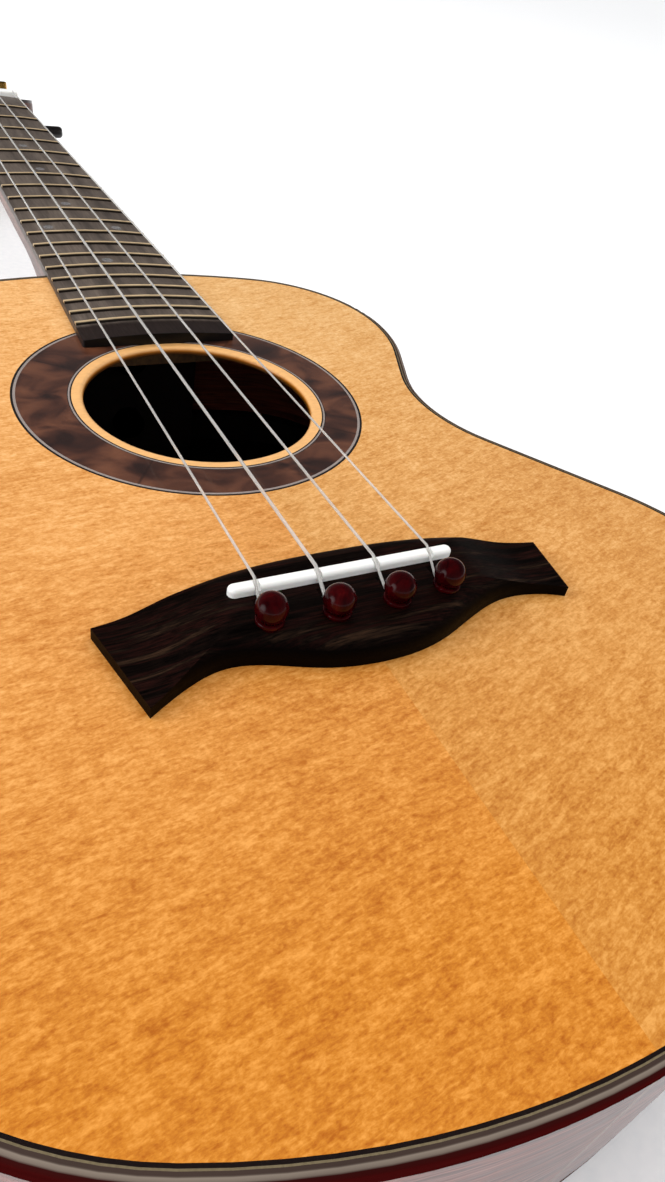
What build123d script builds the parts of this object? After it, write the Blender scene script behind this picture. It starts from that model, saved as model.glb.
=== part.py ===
from build123d import *
import math
import os

# Tenor ukulele, lying on its back. Millimetres, +Z up, +Y towards the head, +X to the treble side.
# The origin is under the middle of the instrument's length, on the surface that it lies on.
# Places along the instrument are given as s, the distance from the nut towards the tail.

# ---- driving dimensions: scale and strings
SCALE_LENGTH = 432.0
FRET_COUNT = 20
STRING_RADII = (0.30, 0.36, 0.43, 0.33)
NUT_STRING_SPACING = 10.0
SADDLE_STRING_SPACING = 14.4
STRING_HEIGHT_AT_NUT = 5.6
STRING_HEIGHT_AT_SADDLE = 10.0

# ---- driving dimensions: body outline
BODY_DEPTH = 70.0
S_CROWN = 249.5
S_UPPER_BOUT = 301.0
S_WAIST = 356.0
S_LOWER_BOUT = 455.0
S_TAIL = 543.0
UPPER_BOUT_HALF = 86.3
WAIST_HALF = 72.0
LOWER_BOUT_HALF = 117.0
CROWN_RADIUS = 200.0
UPPER_BOUT_RADIUS = 60.0
WAIST_RADIUS = 42.0
LOWER_BOUT_RADIUS = 69.0
TAIL_RADIUS = 170.0

# ---- driving dimensions: body woodwork
TOP_THICKNESS = 2.2
BACK_THICKNESS = 2.2
SIDE_THICKNESS = 1.8
BINDING_HEIGHT = 5.0
BINDING_ROUND = 1.4
LIGHT_LINE = 0.3
BLACK_LINE = 0.6
LINING_WIDTH = 5.2
LINING_HEIGHT = 11.0
BLOCK_HALF = 26.0
NECK_BLOCK_LENGTH = 21.0
TAIL_BLOCK_LENGTH = 14.0
SEAM_STRIP_HALF = 0.6
BRACE_WIDTH = 6.0
BRACE_HEIGHT = 11.0
TOP_BRACE_PLACES = (293.0, 396.0)
BACK_BRACE_PLACES = (300.0, 384.0, 470.0)
FAN_BRACE_START = 400.0
FAN_BRACE_LENGTH = 118.0
FAN_BRACE_WIDTH = 4.0
FAN_BRACE_HEIGHT = 5.0
FAN_BRACE_SPACING = 26.0
FAN_BRACE_SPREAD = 6.0
BRIDGE_PLATE_HALF = 46.0
BRIDGE_PLATE_START = 430.0
BRIDGE_PLATE_END = 458.0
BRIDGE_PLATE_THICKNESS = 2.0
CENTRE_STRIP_HALF = 8.0
CENTRE_STRIP_THICKNESS = 1.5

# ---- driving dimensions: soundhole and rosette
S_SOUNDHOLE = 343.8
SOUNDHOLE_RADIUS = 33.0
HOLE_RING_OUTER = 36.3
INNER_BLACK_OUTER = 36.7
INNER_WHITE_OUTER = 37.2
BURL_INNER = 37.4
BURL_OUTER = 49.25
OUTER_WHITE_OUTER = 49.95
ROSETTE_X = -1.6
ROSETTE_S = 342.2
ROSETTE_RADIUS = 50.6
INLAY_DEPTH = 1.2

# ---- driving dimensions: fingerboard and neck
FINGERBOARD_END = 307.8
FINGERBOARD_HEIGHT = 3.5
FINGERBOARD_CAMBER = 254.0
NUT_WIDTH = 34.6
WIDTH_AT_LAST_FRET = 49.1
FRET_CROWN_WIDTH = 2.0
FRET_CROWN_HEIGHT = 0.95
FRET_TANG = 0.6
FRET_SLOT_DEPTH = 2.0
NUT_LENGTH = 5.0
MARKER_RADIUS = 2.0
MARKER_THICKNESS = 1.6
DOUBLE_MARKER_X = 13.2
HEEL_CAP_THICKNESS = 3.0
NECK_BOLT_HEIGHTS = (22.0, 48.0)
NECK_BOLT_RADIUS = 3.0
NECK_BOLT_CLEARANCE = 0.1
NECK_BOLT_LENGTH = 41.0
ROD_HALF = 2.5
ROD_DEPTH = 9.0
NECK_TILT = 0.83
HEAD_ANGLE = 13.0
HEAD_LENGTH = 122.0
HEAD_THICKNESS = 12.0
HEADPLATE_THICKNESS = 1.5

# ---- driving dimensions: bridge, saddle and pins
BRIDGE_HEIGHT = 7.3
BRIDGE_FLAT_HALF = 27.0
BRIDGE_EDGE_ROUND = 5.0
WING_HEIGHT = 2.9
SADDLE_SLOT_DEPTH = 4.0
SADDLE_S = 435.3
SADDLE_THICKNESS = 3.0
SADDLE_HALF = 27.8
PIN_PLACES = ((20.5, 445.6), (6.9, 446.7), (-7.8, 446.7), (-22.5, 445.2))
PIN_RADIUS = 2.5
PIN_TIP_RADIUS = 2.15
PIN_LENGTH = 19.0
PIN_COLLAR_RADIUS = 3.1
PIN_COLLAR_HEIGHT = 1.2
PIN_NECK_RADIUS = 2.1
PIN_HEAD_RADIUS = 3.5
PIN_HEAD_CENTRE = 3.8
PIN_CLEARANCE = 0.1
STRING_OFFSET_FROM_PIN = 3.1

# ---- driving dimensions: tuners, in the head's own plane
POST_PLACES = ((16.0, 36.0), (13.0, 80.0))
POST_RADIUS = 3.0
POST_HEIGHT = 9.0
PLATE_THICKNESS = 0.9
WHEEL_TEETH = 14
WORM_PITCH = 2.064
CENTRE_DISTANCE = 7.0
WHEEL_OUTER = 5.3
WHEEL_ROOT = 4.15
WHEEL_THICKNESS = 3.2
WORM_DEPTH = 3.9
WORM_CORE = 1.55
WORM_TIP = 2.7
WORM_TURNS = 3
SHAFT_RADIUS = 1.5
RUNNING_CLEARANCE = 0.06
BUTTON_START = 34.5
BUTTON_LENGTH = 13.0
SHAFT_END_COVER = 4.0

# ---- positions that follow from them
HEAD_SLOPE = math.radians(HEAD_ANGLE)
TILT = math.radians(NECK_TILT)
PIVOT_TO_TIP = FINGERBOARD_END + NUT_LENGTH + HEAD_LENGTH * math.cos(HEAD_SLOPE)
TIP_DROP = HEAD_LENGTH * math.sin(HEAD_SLOPE) - HEADPLATE_THICKNESS
HEAD_TIP_S = FINGERBOARD_END - PIVOT_TO_TIP * math.cos(TILT) + TIP_DROP * math.sin(TILT)
NUT_Y = (S_TAIL + HEAD_TIP_S) / 2
TOP_Z = BODY_DEPTH
TOP_UNDERSIDE = BODY_DEPTH - TOP_THICKNESS
FULL = 1000.0
TILT_PIVOT = Pos(0, NUT_Y - FINGERBOARD_END, TOP_Z)
TILTED = TILT_PIVOT * Rot(-NECK_TILT, 0, 0) * TILT_PIVOT.inverse()
HEAD_PLANE = Plane(
    TILTED * Pos(0, NUT_Y + NUT_LENGTH, TOP_Z + HEADPLATE_THICKNESS) * Rot(-HEAD_ANGLE, 0, 0)
)


def at(x, s, z=0.0):
    """A point given by its distance s from the nut."""
    return (x, NUT_Y - s, z)


def block(x0, x1, s0, s1, z0, z1):
    """A box between two values of x, s and z."""
    centre = at((x0 + x1) / 2, (s0 + s1) / 2, (z0 + z1) / 2)
    return Pos(*centre) * Box(x1 - x0, s1 - s0, z1 - z0)


def post(x, s, radius, z0, z1):
    """An upright cylinder."""
    return Pos(*at(x, s, (z0 + z1) / 2)) * Cylinder(radius, z1 - z0)


def fret_s(number):
    return SCALE_LENGTH * (1 - 2 ** (-number / 12))


def board_half_width(s):
    growth = (WIDTH_AT_LAST_FRET - NUT_WIDTH) / fret_s(FRET_COUNT)
    return (NUT_WIDTH + growth * s) / 2


# ---------------------------------------------------------------- body outline
def nested_radius(half_width, rise, outer_radius):
    """Radius of the arc that touches x = half_width and runs smoothly into an arc on the centreline."""
    return (outer_radius**2 - half_width**2 - rise**2) / (2 * (outer_radius - half_width))


def crossing_normal(bout, bout_radius, waist, waist_radius, turn):
    """Angle of the straight stretch's outward normal, between a bout's arc and the waist's arc."""
    dx, ds = waist[0] - bout[0], waist[1] - bout[1]
    spread = math.acos((bout_radius + waist_radius) / math.hypot(dx, ds))
    return math.atan2(ds, dx) + turn * spread


def around(centre, radius, angle):
    return (centre[0] + radius * math.cos(angle), centre[1] + radius * math.sin(angle))


def rim_edges(inset, side):
    """Half of the body outline, from the neck to the tail, moved inwards by inset."""
    crown = (0.0, S_CROWN + CROWN_RADIUS)
    tail = (0.0, S_TAIL - TAIL_RADIUS)
    shoulder_radius = nested_radius(UPPER_BOUT_HALF, crown[1] - S_UPPER_BOUT, CROWN_RADIUS)
    corner_radius = nested_radius(LOWER_BOUT_HALF, S_LOWER_BOUT - tail[1], TAIL_RADIUS)
    shoulder = (UPPER_BOUT_HALF - shoulder_radius, S_UPPER_BOUT)
    upper = (UPPER_BOUT_HALF - UPPER_BOUT_RADIUS, S_UPPER_BOUT)
    waist = (WAIST_HALF + WAIST_RADIUS, S_WAIST)
    lower = (LOWER_BOUT_HALF - LOWER_BOUT_RADIUS, S_LOWER_BOUT)
    corner = (LOWER_BOUT_HALF - corner_radius, S_LOWER_BOUT)

    shoulder_angle = math.atan2(shoulder[1] - crown[1], shoulder[0])
    corner_angle = math.atan2(corner[1] - tail[1], corner[0])
    upper_angle = crossing_normal(upper, UPPER_BOUT_RADIUS, waist, WAIST_RADIUS, -1)
    lower_angle = crossing_normal(lower, LOWER_BOUT_RADIUS, waist, WAIST_RADIUS, 1)
    quarter = math.pi / 2
    arcs = [
        (crown, CROWN_RADIUS - inset, -quarter, shoulder_angle),
        (shoulder, shoulder_radius - inset, shoulder_angle, 0.0),
        (upper, UPPER_BOUT_RADIUS - inset, 0.0, upper_angle),
        (waist, WAIST_RADIUS + inset, upper_angle + math.pi, lower_angle + math.pi),
        (lower, LOWER_BOUT_RADIUS - inset, lower_angle, 0.0),
        (corner, corner_radius - inset, 0.0, corner_angle),
        (tail, TAIL_RADIUS - inset, corner_angle, quarter),
    ]
    edges = []
    last = None
    for centre, radius, start, end in arcs:
        points = [around(centre, radius, a) for a in (start, (start + end) / 2, end)]
        points = [at(side * x, s) for x, s in points]
        if last is not None and math.dist(last, points[0]) > 0.001:
            edges.append(Line(last, points[0]))
        edges.append(ThreePointArc(*points))
        last = points[2]
    return edges


def slab(inset, z0, z1):
    """The body outline, moved inwards, as a solid between two heights."""
    face = make_face(rim_edges(inset, 1) + rim_edges(inset, -1))
    return Pos(0, 0, z0) * extrude(face, z1 - z0)


def rim_band(outer_inset, inner_inset, z0, z1):
    return slab(outer_inset, z0, z1) - slab(inner_inset, z0, z1)


def half_space(side):
    """Everything on the treble (1) or bass (-1) side of the centreline."""
    return Pos(side * FULL / 2, 0, 0) * Box(FULL, 2 * FULL, FULL)


# ---------------------------------------------------------------- sound box
def rosette_disc(radius, z0, z1):
    return post(ROSETTE_X, ROSETTE_S, radius, z0, z1)


def hole_disc(radius, z0, z1):
    return post(0, S_SOUNDHOLE, radius, z0, z1)


def saddle_x(number):
    """Strings and pins are numbered from the treble side."""
    return (2.5 - number) * SADDLE_STRING_SPACING


def saddle_front_s():
    return SADDLE_S - SADDLE_THICKNESS / 2 + 0.5


def dive_s(number):
    """Where a string turns down beside its pin."""
    return PIN_PLACES[number - 1][1] - STRING_OFFSET_FROM_PIN


def dive_height():
    return BRIDGE_HEIGHT - 1.7


def string_slope(number):
    """Fall per mm from the saddle to the place where a string turns down."""
    return (STRING_HEIGHT_AT_SADDLE - dive_height()) / (dive_s(number) - saddle_front_s())


def pin_hole(number):
    """Hole for the pin's shank with the string's slot on its saddle side."""
    x, s = PIN_PLACES[number - 1]
    slope = string_slope(number)
    hole_radius = PIN_RADIUS + PIN_CLEARANCE
    lowest = TOP_Z - 8
    highest = TOP_Z + BRIDGE_HEIGHT + 1
    slot_half = 1.0
    slot_front = dive_s(number) - 0.7
    ramp_drop = 0.65
    ramp_low = TOP_Z + STRING_HEIGHT_AT_SADDLE - slope * (slot_front - saddle_front_s()) - ramp_drop
    ramp_reach = (highest - ramp_low) / slope
    profile = Polyline(
        at(0, s, lowest),
        at(0, slot_front, lowest),
        at(0, slot_front, ramp_low),
        at(0, slot_front - ramp_reach, highest),
        at(0, s, highest),
        close=True,
    )
    slot = extrude(make_face(profile), slot_half, dir=(1, 0, 0), both=True)
    return Pos(x, 0, 0) * slot + post(x, s, hole_radius, lowest, highest)


def soundboard(side):
    inset = SIDE_THICKNESS + LIGHT_LINE + BLACK_LINE
    board = slab(inset, TOP_UNDERSIDE, TOP_Z) & half_space(side)
    board -= hole_disc(HOLE_RING_OUTER, 0, FULL)
    board -= rosette_disc(ROSETTE_RADIUS, TOP_Z - INLAY_DEPTH, TOP_Z + 1)
    for number in range(1, 5):
        board -= pin_hole(number)
    return board


def soundhole_ring():
    ring = hole_disc(HOLE_RING_OUTER, TOP_UNDERSIDE, TOP_Z)
    ring -= hole_disc(SOUNDHOLE_RADIUS, TOP_UNDERSIDE - 1, TOP_Z + 1)
    lip = ring.edges().filter_by(GeomType.CIRCLE).sort_by(SortBy.RADIUS)[:2].sort_by(Axis.Z)[-1]
    return fillet(lip, 1.3)


def rosette_parts():
    """The burl ring and its border lines, let into the top. The inner lines follow the soundhole."""
    floor = TOP_Z - INLAY_DEPTH

    def outer_disc(radius):
        return rosette_disc(radius, floor, TOP_Z)

    def inner_disc(radius):
        return hole_disc(radius, floor, TOP_Z)

    burl = outer_disc(BURL_OUTER) - inner_disc(BURL_INNER)
    black = [
        inner_disc(INNER_BLACK_OUTER) - inner_disc(HOLE_RING_OUTER),
        inner_disc(BURL_INNER) - inner_disc(INNER_WHITE_OUTER),
        outer_disc(ROSETTE_RADIUS) - outer_disc(OUTER_WHITE_OUTER),
    ]
    white = [
        inner_disc(INNER_WHITE_OUTER) - inner_disc(INNER_BLACK_OUTER),
        outer_disc(OUTER_WHITE_OUTER) - outer_disc(BURL_OUTER),
    ]
    return burl, black, white


def top_binding():
    band = slab(0, TOP_Z - BINDING_HEIGHT, TOP_Z)
    band = fillet(band.faces().sort_by(Axis.Z)[-1].edges(), BINDING_ROUND)
    return band - slab(SIDE_THICKNESS, 0, FULL)


def back_binding():
    band = slab(0, 0, BINDING_HEIGHT)
    band = fillet(band.faces().sort_by(Axis.Z)[0].edges(), BINDING_ROUND)
    return band - slab(SIDE_THICKNESS, -1, FULL)


def body_side(side):
    wall = rim_band(0, SIDE_THICKNESS, BINDING_HEIGHT, TOP_Z - BINDING_HEIGHT) & half_space(side)
    wall -= tail_seam()
    for hole in neck_bolt_holes(NECK_BOLT_RADIUS + NECK_BOLT_CLEARANCE):
        wall -= hole
    return wall


def tail_seam():
    strip = rim_band(0, SIDE_THICKNESS, BINDING_HEIGHT, TOP_Z - BINDING_HEIGHT)
    return strip & block(-SEAM_STRIP_HALF, SEAM_STRIP_HALF, S_TAIL - 20, S_TAIL + 1, 0, FULL)


def neck_block():
    first, last = S_CROWN - 1, S_CROWN + SIDE_THICKNESS + NECK_BLOCK_LENGTH
    solid = block(-BLOCK_HALF, BLOCK_HALF, first, last, BACK_THICKNESS, TOP_UNDERSIDE)
    solid &= slab(SIDE_THICKNESS, 0, TOP_Z)
    for hole in neck_bolt_holes(NECK_BOLT_RADIUS + NECK_BOLT_CLEARANCE):
        solid -= hole
    return solid


def tail_block():
    first = S_TAIL - SIDE_THICKNESS - TAIL_BLOCK_LENGTH
    solid = block(-BLOCK_HALF, BLOCK_HALF, first, S_TAIL, BACK_THICKNESS, TOP_UNDERSIDE)
    return solid & slab(SIDE_THICKNESS, 0, TOP_Z)


def linings(z0, z1):
    """Glue strips in the corner between side and plate, one for each side of the body."""
    band = rim_band(SIDE_THICKNESS, SIDE_THICKNESS + LINING_WIDTH, z0, z1)
    band -= block(-BLOCK_HALF, BLOCK_HALF, S_CROWN - 1, S_UPPER_BOUT, 0, TOP_Z)
    band -= block(-BLOCK_HALF, BLOCK_HALF, S_LOWER_BOUT, S_TAIL + 1, 0, TOP_Z)
    return band


def inner_brace(s, z0, z1):
    """A bar across the inside of the body."""
    reach = slab(SIDE_THICKNESS + LINING_WIDTH, z0, z1)
    half = BRACE_WIDTH / 2
    return block(-LOWER_BOUT_HALF, LOWER_BOUT_HALF, s - half, s + half, z0, z1) & reach


def bridge_plate_blank(z0, z1):
    half = BRIDGE_PLATE_HALF
    return block(-half, half, BRIDGE_PLATE_START, BRIDGE_PLATE_END, z0, z1)


def bridge_plate():
    """Plate under the top that the strings' knots bear against."""
    plate = bridge_plate_blank(TOP_UNDERSIDE - BRIDGE_PLATE_THICKNESS, TOP_UNDERSIDE)
    for number in range(1, 5):
        plate -= pin_hole(number)
    return plate


def soundboard_braces():
    """Two braces across the top and five fan braces under the lower bout."""
    braces = [inner_brace(s, TOP_UNDERSIDE - BRACE_HEIGHT, TOP_UNDERSIDE) for s in TOP_BRACE_PLACES]
    room = slab(SIDE_THICKNESS + LINING_WIDTH + 1.0, 0, TOP_Z) - bridge_plate_blank(0, TOP_Z)
    room -= block(-FULL / 4, FULL / 4, 0, FAN_BRACE_START, 0, TOP_Z)
    middle_s = FAN_BRACE_START + FAN_BRACE_LENGTH / 2
    middle_z = TOP_UNDERSIDE - FAN_BRACE_HEIGHT / 2
    for place in (-2, -1, 0, 1, 2):
        bar = Rot(0, 0, FAN_BRACE_SPREAD * place) * Box(FAN_BRACE_WIDTH, FAN_BRACE_LENGTH, FAN_BRACE_HEIGHT)
        bar = Pos(*at(FAN_BRACE_SPACING * place, middle_s, middle_z)) * bar
        braces += (bar & room).solids()
    return braces


def back_braces():
    z0 = BACK_THICKNESS
    return [inner_brace(s, z0, z0 + BRACE_HEIGHT) for s in BACK_BRACE_PLACES]


def back_centre_strip():
    first = S_CROWN + SIDE_THICKNESS + NECK_BLOCK_LENGTH
    last = S_TAIL - SIDE_THICKNESS - TAIL_BLOCK_LENGTH
    z0, half = BACK_THICKNESS, CENTRE_STRIP_HALF
    strip = block(-half, half, first, last, z0, z0 + CENTRE_STRIP_THICKNESS)
    for brace in back_braces():
        strip -= brace
    return strip.solids()


# ---------------------------------------------------------------- neck, head and fingerboard
def along_neck(shape, s, z):
    """Lays an upright shape along the instrument, with its middle at s and z."""
    return Pos(*at(0, s, z)) * Rot(90, 0, 0) * shape


def neck_bolt_holes(radius):
    """Two bolts hold the heel to the neck block."""
    hole = Cylinder(radius, NECK_BOLT_LENGTH + 1.0)
    return [along_neck(hole, S_CROWN + 4.0, z) for z in NECK_BOLT_HEIGHTS]


def neck_bolts():
    """Socket-headed bolts, with their heads on the inner face of the neck block."""
    head_radius, head_height, socket_radius = 5.5, 4.0, 2.6
    head_s = S_CROWN + SIDE_THICKNESS + NECK_BLOCK_LENGTH + head_height / 2
    socket = extrude(RegularPolygon(socket_radius, 6), 2.5, both=True)
    bolts = []
    for z in NECK_BOLT_HEIGHTS:
        shank = along_neck(Cylinder(NECK_BOLT_RADIUS, NECK_BOLT_LENGTH), S_CROWN + 4.0, z)
        head = along_neck(Cylinder(head_radius, head_height), head_s, z)
        bolts.append(shank + head - along_neck(socket, head_s + head_height / 2, z))
    return bolts


def neck_section(s, depth, fullness):
    """Section of the neck: flat on top and rounded below, like a D at 2 and like a V nearer to 1."""
    half = board_half_width(max(s, 0.0))
    points = []
    steps = 12
    for step in range(steps + 1):
        angle = math.pi * step / steps
        across = math.copysign(abs(math.cos(angle)) ** (2 / fullness), math.cos(angle))
        down = math.sin(angle) ** (2 / fullness)
        points.append(at(half * across, s, TOP_Z - depth * down))
    back = Spline(*points, tangents=((0, 0, -1), (0, 0, 1)))
    return make_face([back, Line(points[-1], points[0])])


def neck_body():
    """The neck with its heel, tilted back, before the heel cap and the joints are cut."""
    stations = (
        (-17.0, 12.4, 2.2), (0.0, 14.3, 2.2), (60.0, 14.6, 2.2), (120.0, 15.0, 2.2),
        (175.0, 15.6, 2.2), (200.0, 17.0, 2.1), (213.0, 22.0, 2.0), (223.0, 34.0, 1.8),
        (232.0, 51.0, 1.65), (242.0, 69.0, 1.55), (254.0, 79.0, 1.5),
    )
    shaft = loft([neck_section(*station) for station in stations])
    above_head = HEAD_PLANE.location * (Pos(0, 60, 20 - HEADPLATE_THICKNESS) * Box(100, 130, 40))
    return TILTED * shaft - above_head


def head_outline():
    """Outline of the head in its own plane, from inside the neck to the tip."""
    neck_half = NUT_WIDTH / 2
    start, neck_end = (neck_half, -7), (neck_half, 4)
    ear, waist, corner, tip = (29.8, 21), (29.2, 62), (27.6, 107), (0, HEAD_LENGTH)
    half = [
        Line(start, neck_end),
        Spline(neck_end, (21.5, 12), ear, tangents=((0, 1), (0.35, 1))),
        Spline(ear, waist, corner, tangents=((0.35, 1), (-0.05, 1))),
        Spline(corner, (22.0, 114.5), (10.0, 117.5), tip, tangents=((-0.1, 1), (-1, 0.6))),
    ]
    other = [edge.mirror(Plane.YZ) for edge in half]
    return make_face(half + other + [Line(start, (-neck_half, -7))])


def tuner_holes(radius, z0, z1):
    """Four upright holes at the string posts, in the head's own plane."""
    holes = []
    for side in (1, -1):
        for x, y in POST_PLACES:
            holes.append(Pos(side * x, y, (z0 + z1) / 2) * Cylinder(radius, z1 - z0))
    return holes


def neck():
    slab_thickness = HEAD_THICKNESS - HEADPLATE_THICKNESS
    head = Pos(0, 0, -HEAD_THICKNESS) * extrude(head_outline(), slab_thickness)
    for hole in tuner_holes(4.4, -5.0, 1.0) + tuner_holes(3.3, -13.0, 1.0):
        head -= hole
    for x, y in screw_places():
        head -= Pos(x, y, -HEAD_THICKNESS) * Cylinder(0.8, 12.0)
    whole = neck_body() + HEAD_PLANE.location * head
    whole -= TILTED * block(-60, 60, -NUT_LENGTH, 300, TOP_Z, TOP_Z + 20)
    whole -= slab(0, 0, TOP_Z + 20)
    whole -= block(-60, 60, 150, 300, -40, HEEL_CAP_THICKNESS)
    whole -= rod_channel()
    for hole in neck_bolt_holes(NECK_BOLT_RADIUS):
        whole -= hole
    return whole


def heel_cap():
    return (neck_body() & block(-60, 60, 190, 300, 0, HEEL_CAP_THICKNESS)) - slab(0, -1, TOP_Z)


def rod_channel():
    return TILTED * block(-ROD_HALF, ROD_HALF, 4.0, 238.0, TOP_Z - ROD_DEPTH, TOP_Z)


def headplate():
    plate = Pos(0, 0, -HEADPLATE_THICKNESS) * extrude(head_outline(), HEADPLATE_THICKNESS)
    for hole in tuner_holes(4.4, -5.0, 1.0):
        plate -= hole
    return HEAD_PLANE.location * plate - TILTED * block(-60, 60, -NUT_LENGTH, 20, 0, FULL)


def camber(extra=0.0):
    """Long cylinder whose upper side is the fingerboard's cambered face."""
    radius = FINGERBOARD_CAMBER + extra
    centre = at(0, FINGERBOARD_END / 2, TOP_Z + FINGERBOARD_HEIGHT - FINGERBOARD_CAMBER)
    return Pos(*centre) * Rot(90, 0, 0) * Cylinder(radius, FINGERBOARD_END + 40)


def marker_places():
    """Places (x, s) of the dots: single ones before frets 5, 7, 10 and 15, a pair before fret 12."""
    places = [(0.0, number) for number in (5, 7, 10, 15)]
    places += [(-DOUBLE_MARKER_X, 12), (DOUBLE_MARKER_X, 12)]
    return [(x, (fret_s(number) + fret_s(number - 1)) / 2) for x, number in places]


def marker_bores():
    floor = TOP_Z + FINGERBOARD_HEIGHT - MARKER_THICKNESS
    return [post(x, s, MARKER_RADIUS, floor, TOP_Z + 8) for x, s in marker_places()]


def markers():
    return [TILTED * (bore & camber()) for bore in marker_bores()]


def fingerboard():
    """Cambered board, tilted with the neck and planed underneath where it lies on the body."""
    half_nut, half_end = board_half_width(0), board_half_width(FINGERBOARD_END)
    plan = make_face(Polyline(
        at(-half_nut, 0, TOP_Z), at(half_nut, 0, TOP_Z),
        at(half_end, FINGERBOARD_END, TOP_Z), at(-half_end, FINGERBOARD_END, TOP_Z), close=True,
    ))
    board = extrude(plan, 8.0)
    board = fillet(board.edges().filter_by(Axis.Z).sort_by(Axis.Y)[:2], 0.8)
    board &= camber()
    for number in range(1, FRET_COUNT + 1):
        board -= fret_slot(number)
    for bore in marker_bores():
        board -= bore
    return TILTED * board - slab(0, 0, TOP_Z)


def fret_slot(number):
    s = fret_s(number)
    floor = TOP_Z + FINGERBOARD_HEIGHT - FRET_SLOT_DEPTH
    return block(-40, 40, s - FRET_TANG / 2, s + FRET_TANG / 2, floor, TOP_Z + 8)


def fret(number):
    """Fret wire: a rounded crown bent to the camber, and its tang in the slot."""
    s = fret_s(number)
    half = board_half_width(s)
    crown = Plane.YZ * make_face([
        ThreePointArc((-FRET_CROWN_WIDTH / 2, 0), (0, FRET_CROWN_HEIGHT), (FRET_CROWN_WIDTH / 2, 0)),
        Line((FRET_CROWN_WIDTH / 2, 0), (-FRET_CROWN_WIDTH / 2, 0)),
    ])
    crown = Pos(0, 0, FINGERBOARD_CAMBER) * crown
    spread = 2 * math.degrees(math.asin((half - 0.3) / FINGERBOARD_CAMBER))
    bent = Rot(0, -spread / 2, 0) * revolve(crown, Axis.Y, spread)
    place = at(0, s, TOP_Z + FINGERBOARD_HEIGHT - FINGERBOARD_CAMBER)
    tang = fret_slot(number) & camber(0.2) & block(-half + 0.3, half - 0.3, s - 2, s + 2, 0, FULL)
    return TILTED * (Pos(*place) * bent + tang)


# ---------------------------------------------------------------- strings
def head_point(x, y, z):
    """A point of the head's own plane, in the row's frame."""
    return HEAD_PLANE.from_local_coords(Vector(x, y, z))


def string_nut_local(number):
    """Where a string leaves the nut, in the head's own plane, mirrored to the treble side."""
    x = abs(2.5 - number) * NUT_STRING_SPACING
    place = TILTED * Pos(*at(x, 0, TOP_Z + STRING_HEIGHT_AT_NUT))
    return HEAD_PLANE.to_local_coords(place.position)


def string_side(number):
    return 1 if number <= 2 else -1


def string_post(number):
    """Outer strings go to the posts near the nut, inner strings to the far ones."""
    return POST_PLACES[0] if number in (1, 4) else POST_PLACES[1]


def string(number):
    """String with its knot under the top, its run over saddle and nut, and its turns on the post."""
    radius = STRING_RADII[number - 1]
    x_pin = abs(PIN_PLACES[number - 1][0])
    s_dive = dive_s(number)
    start = string_nut_local(number)
    post_x, post_y = string_post(number)
    wrap_radius = POST_RADIUS + radius + 0.08
    to_post = Vector(post_x - start.X, post_y - start.Y)
    aim = math.atan2(to_post.Y, to_post.X) + math.asin(wrap_radius / to_post.length)
    reach = math.sqrt(to_post.length**2 - wrap_radius**2)
    touch = around((start.X, start.Y), reach, aim)

    def on_wrap(degrees):
        x, y = around((post_x, post_y), wrap_radius, aim + math.pi / 2 - math.radians(degrees))
        return head_point(x, y, start.Z)

    knot = at(x_pin, s_dive - 1.4, TOP_UNDERSIDE - 5.0)
    run = FilletPolyline(
        knot,
        at(x_pin, s_dive, TOP_UNDERSIDE - 2.6),
        at(x_pin, s_dive, TOP_Z + dive_height()),
        at(abs(saddle_x(number)), saddle_front_s(), TOP_Z + STRING_HEIGHT_AT_SADDLE),
        head_point(start.X, start.Y, start.Z),
        head_point(touch[0], touch[1], start.Z),
        radius=[0.9, 1.6, 1.6, 6.0],
    )
    turn = ThreePointArc(on_wrap(0), on_wrap(150), on_wrap(300))
    path = Wire(run.edges() + turn.edges())
    section = Plane(origin=path @ 0, z_dir=path % 0) * Circle(radius)
    solids = [sweep(section, path=path) + Pos(*knot) * Sphere(2.6 * radius)]
    for lower_turn in (1, 2):
        ring_z = start.Z - lower_turn * (2 * radius + 0.05)
        ring = HEAD_PLANE.location * (Pos(post_x, post_y, ring_z) * Torus(wrap_radius, radius))
        solids.append(ring)
    if string_side(number) < 0:
        solids = [solid.mirror(Plane.YZ) for solid in solids]
    return solids


def nut():
    height = STRING_HEIGHT_AT_NUT + 0.5
    solid = block(-NUT_WIDTH / 2, NUT_WIDTH / 2, -NUT_LENGTH, 0, TOP_Z, TOP_Z + height)
    solid = TILTED * fillet(solid.edges().filter_by(Axis.X).sort_by(Axis.Z)[-2:], 1.2)
    for number in range(1, 5):
        radius = STRING_RADII[number - 1]
        x_nut = abs(2.5 - number) * NUT_STRING_SPACING
        start = string_nut_local(number)
        post_x, post_y = string_post(number)
        to_post = Vector(post_x - start.X, post_y - start.Y)
        aim = math.atan2(to_post.Y, to_post.X) + math.asin((POST_RADIUS + radius) / to_post.length)
        floor = -radius - 0.06
        slot = Pos(2, 0, floor + 4) * Box(14, 2 * radius + 0.12, 8)
        slot = Pos(start.X, start.Y, start.Z) * Rot(0, 0, math.degrees(aim)) * slot
        slot = HEAD_PLANE.location * slot
        if string_side(number) < 0:
            slot = slot.mirror(Plane.YZ)
        solid -= slot
        side_x = string_side(number) * x_nut
        low = TOP_Z + STRING_HEIGHT_AT_NUT - radius - 0.08
        solid -= TILTED * block(side_x - radius - 0.06, side_x + radius + 0.06, -1.2, 1, low, TOP_Z + 12)
    return solid


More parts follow.
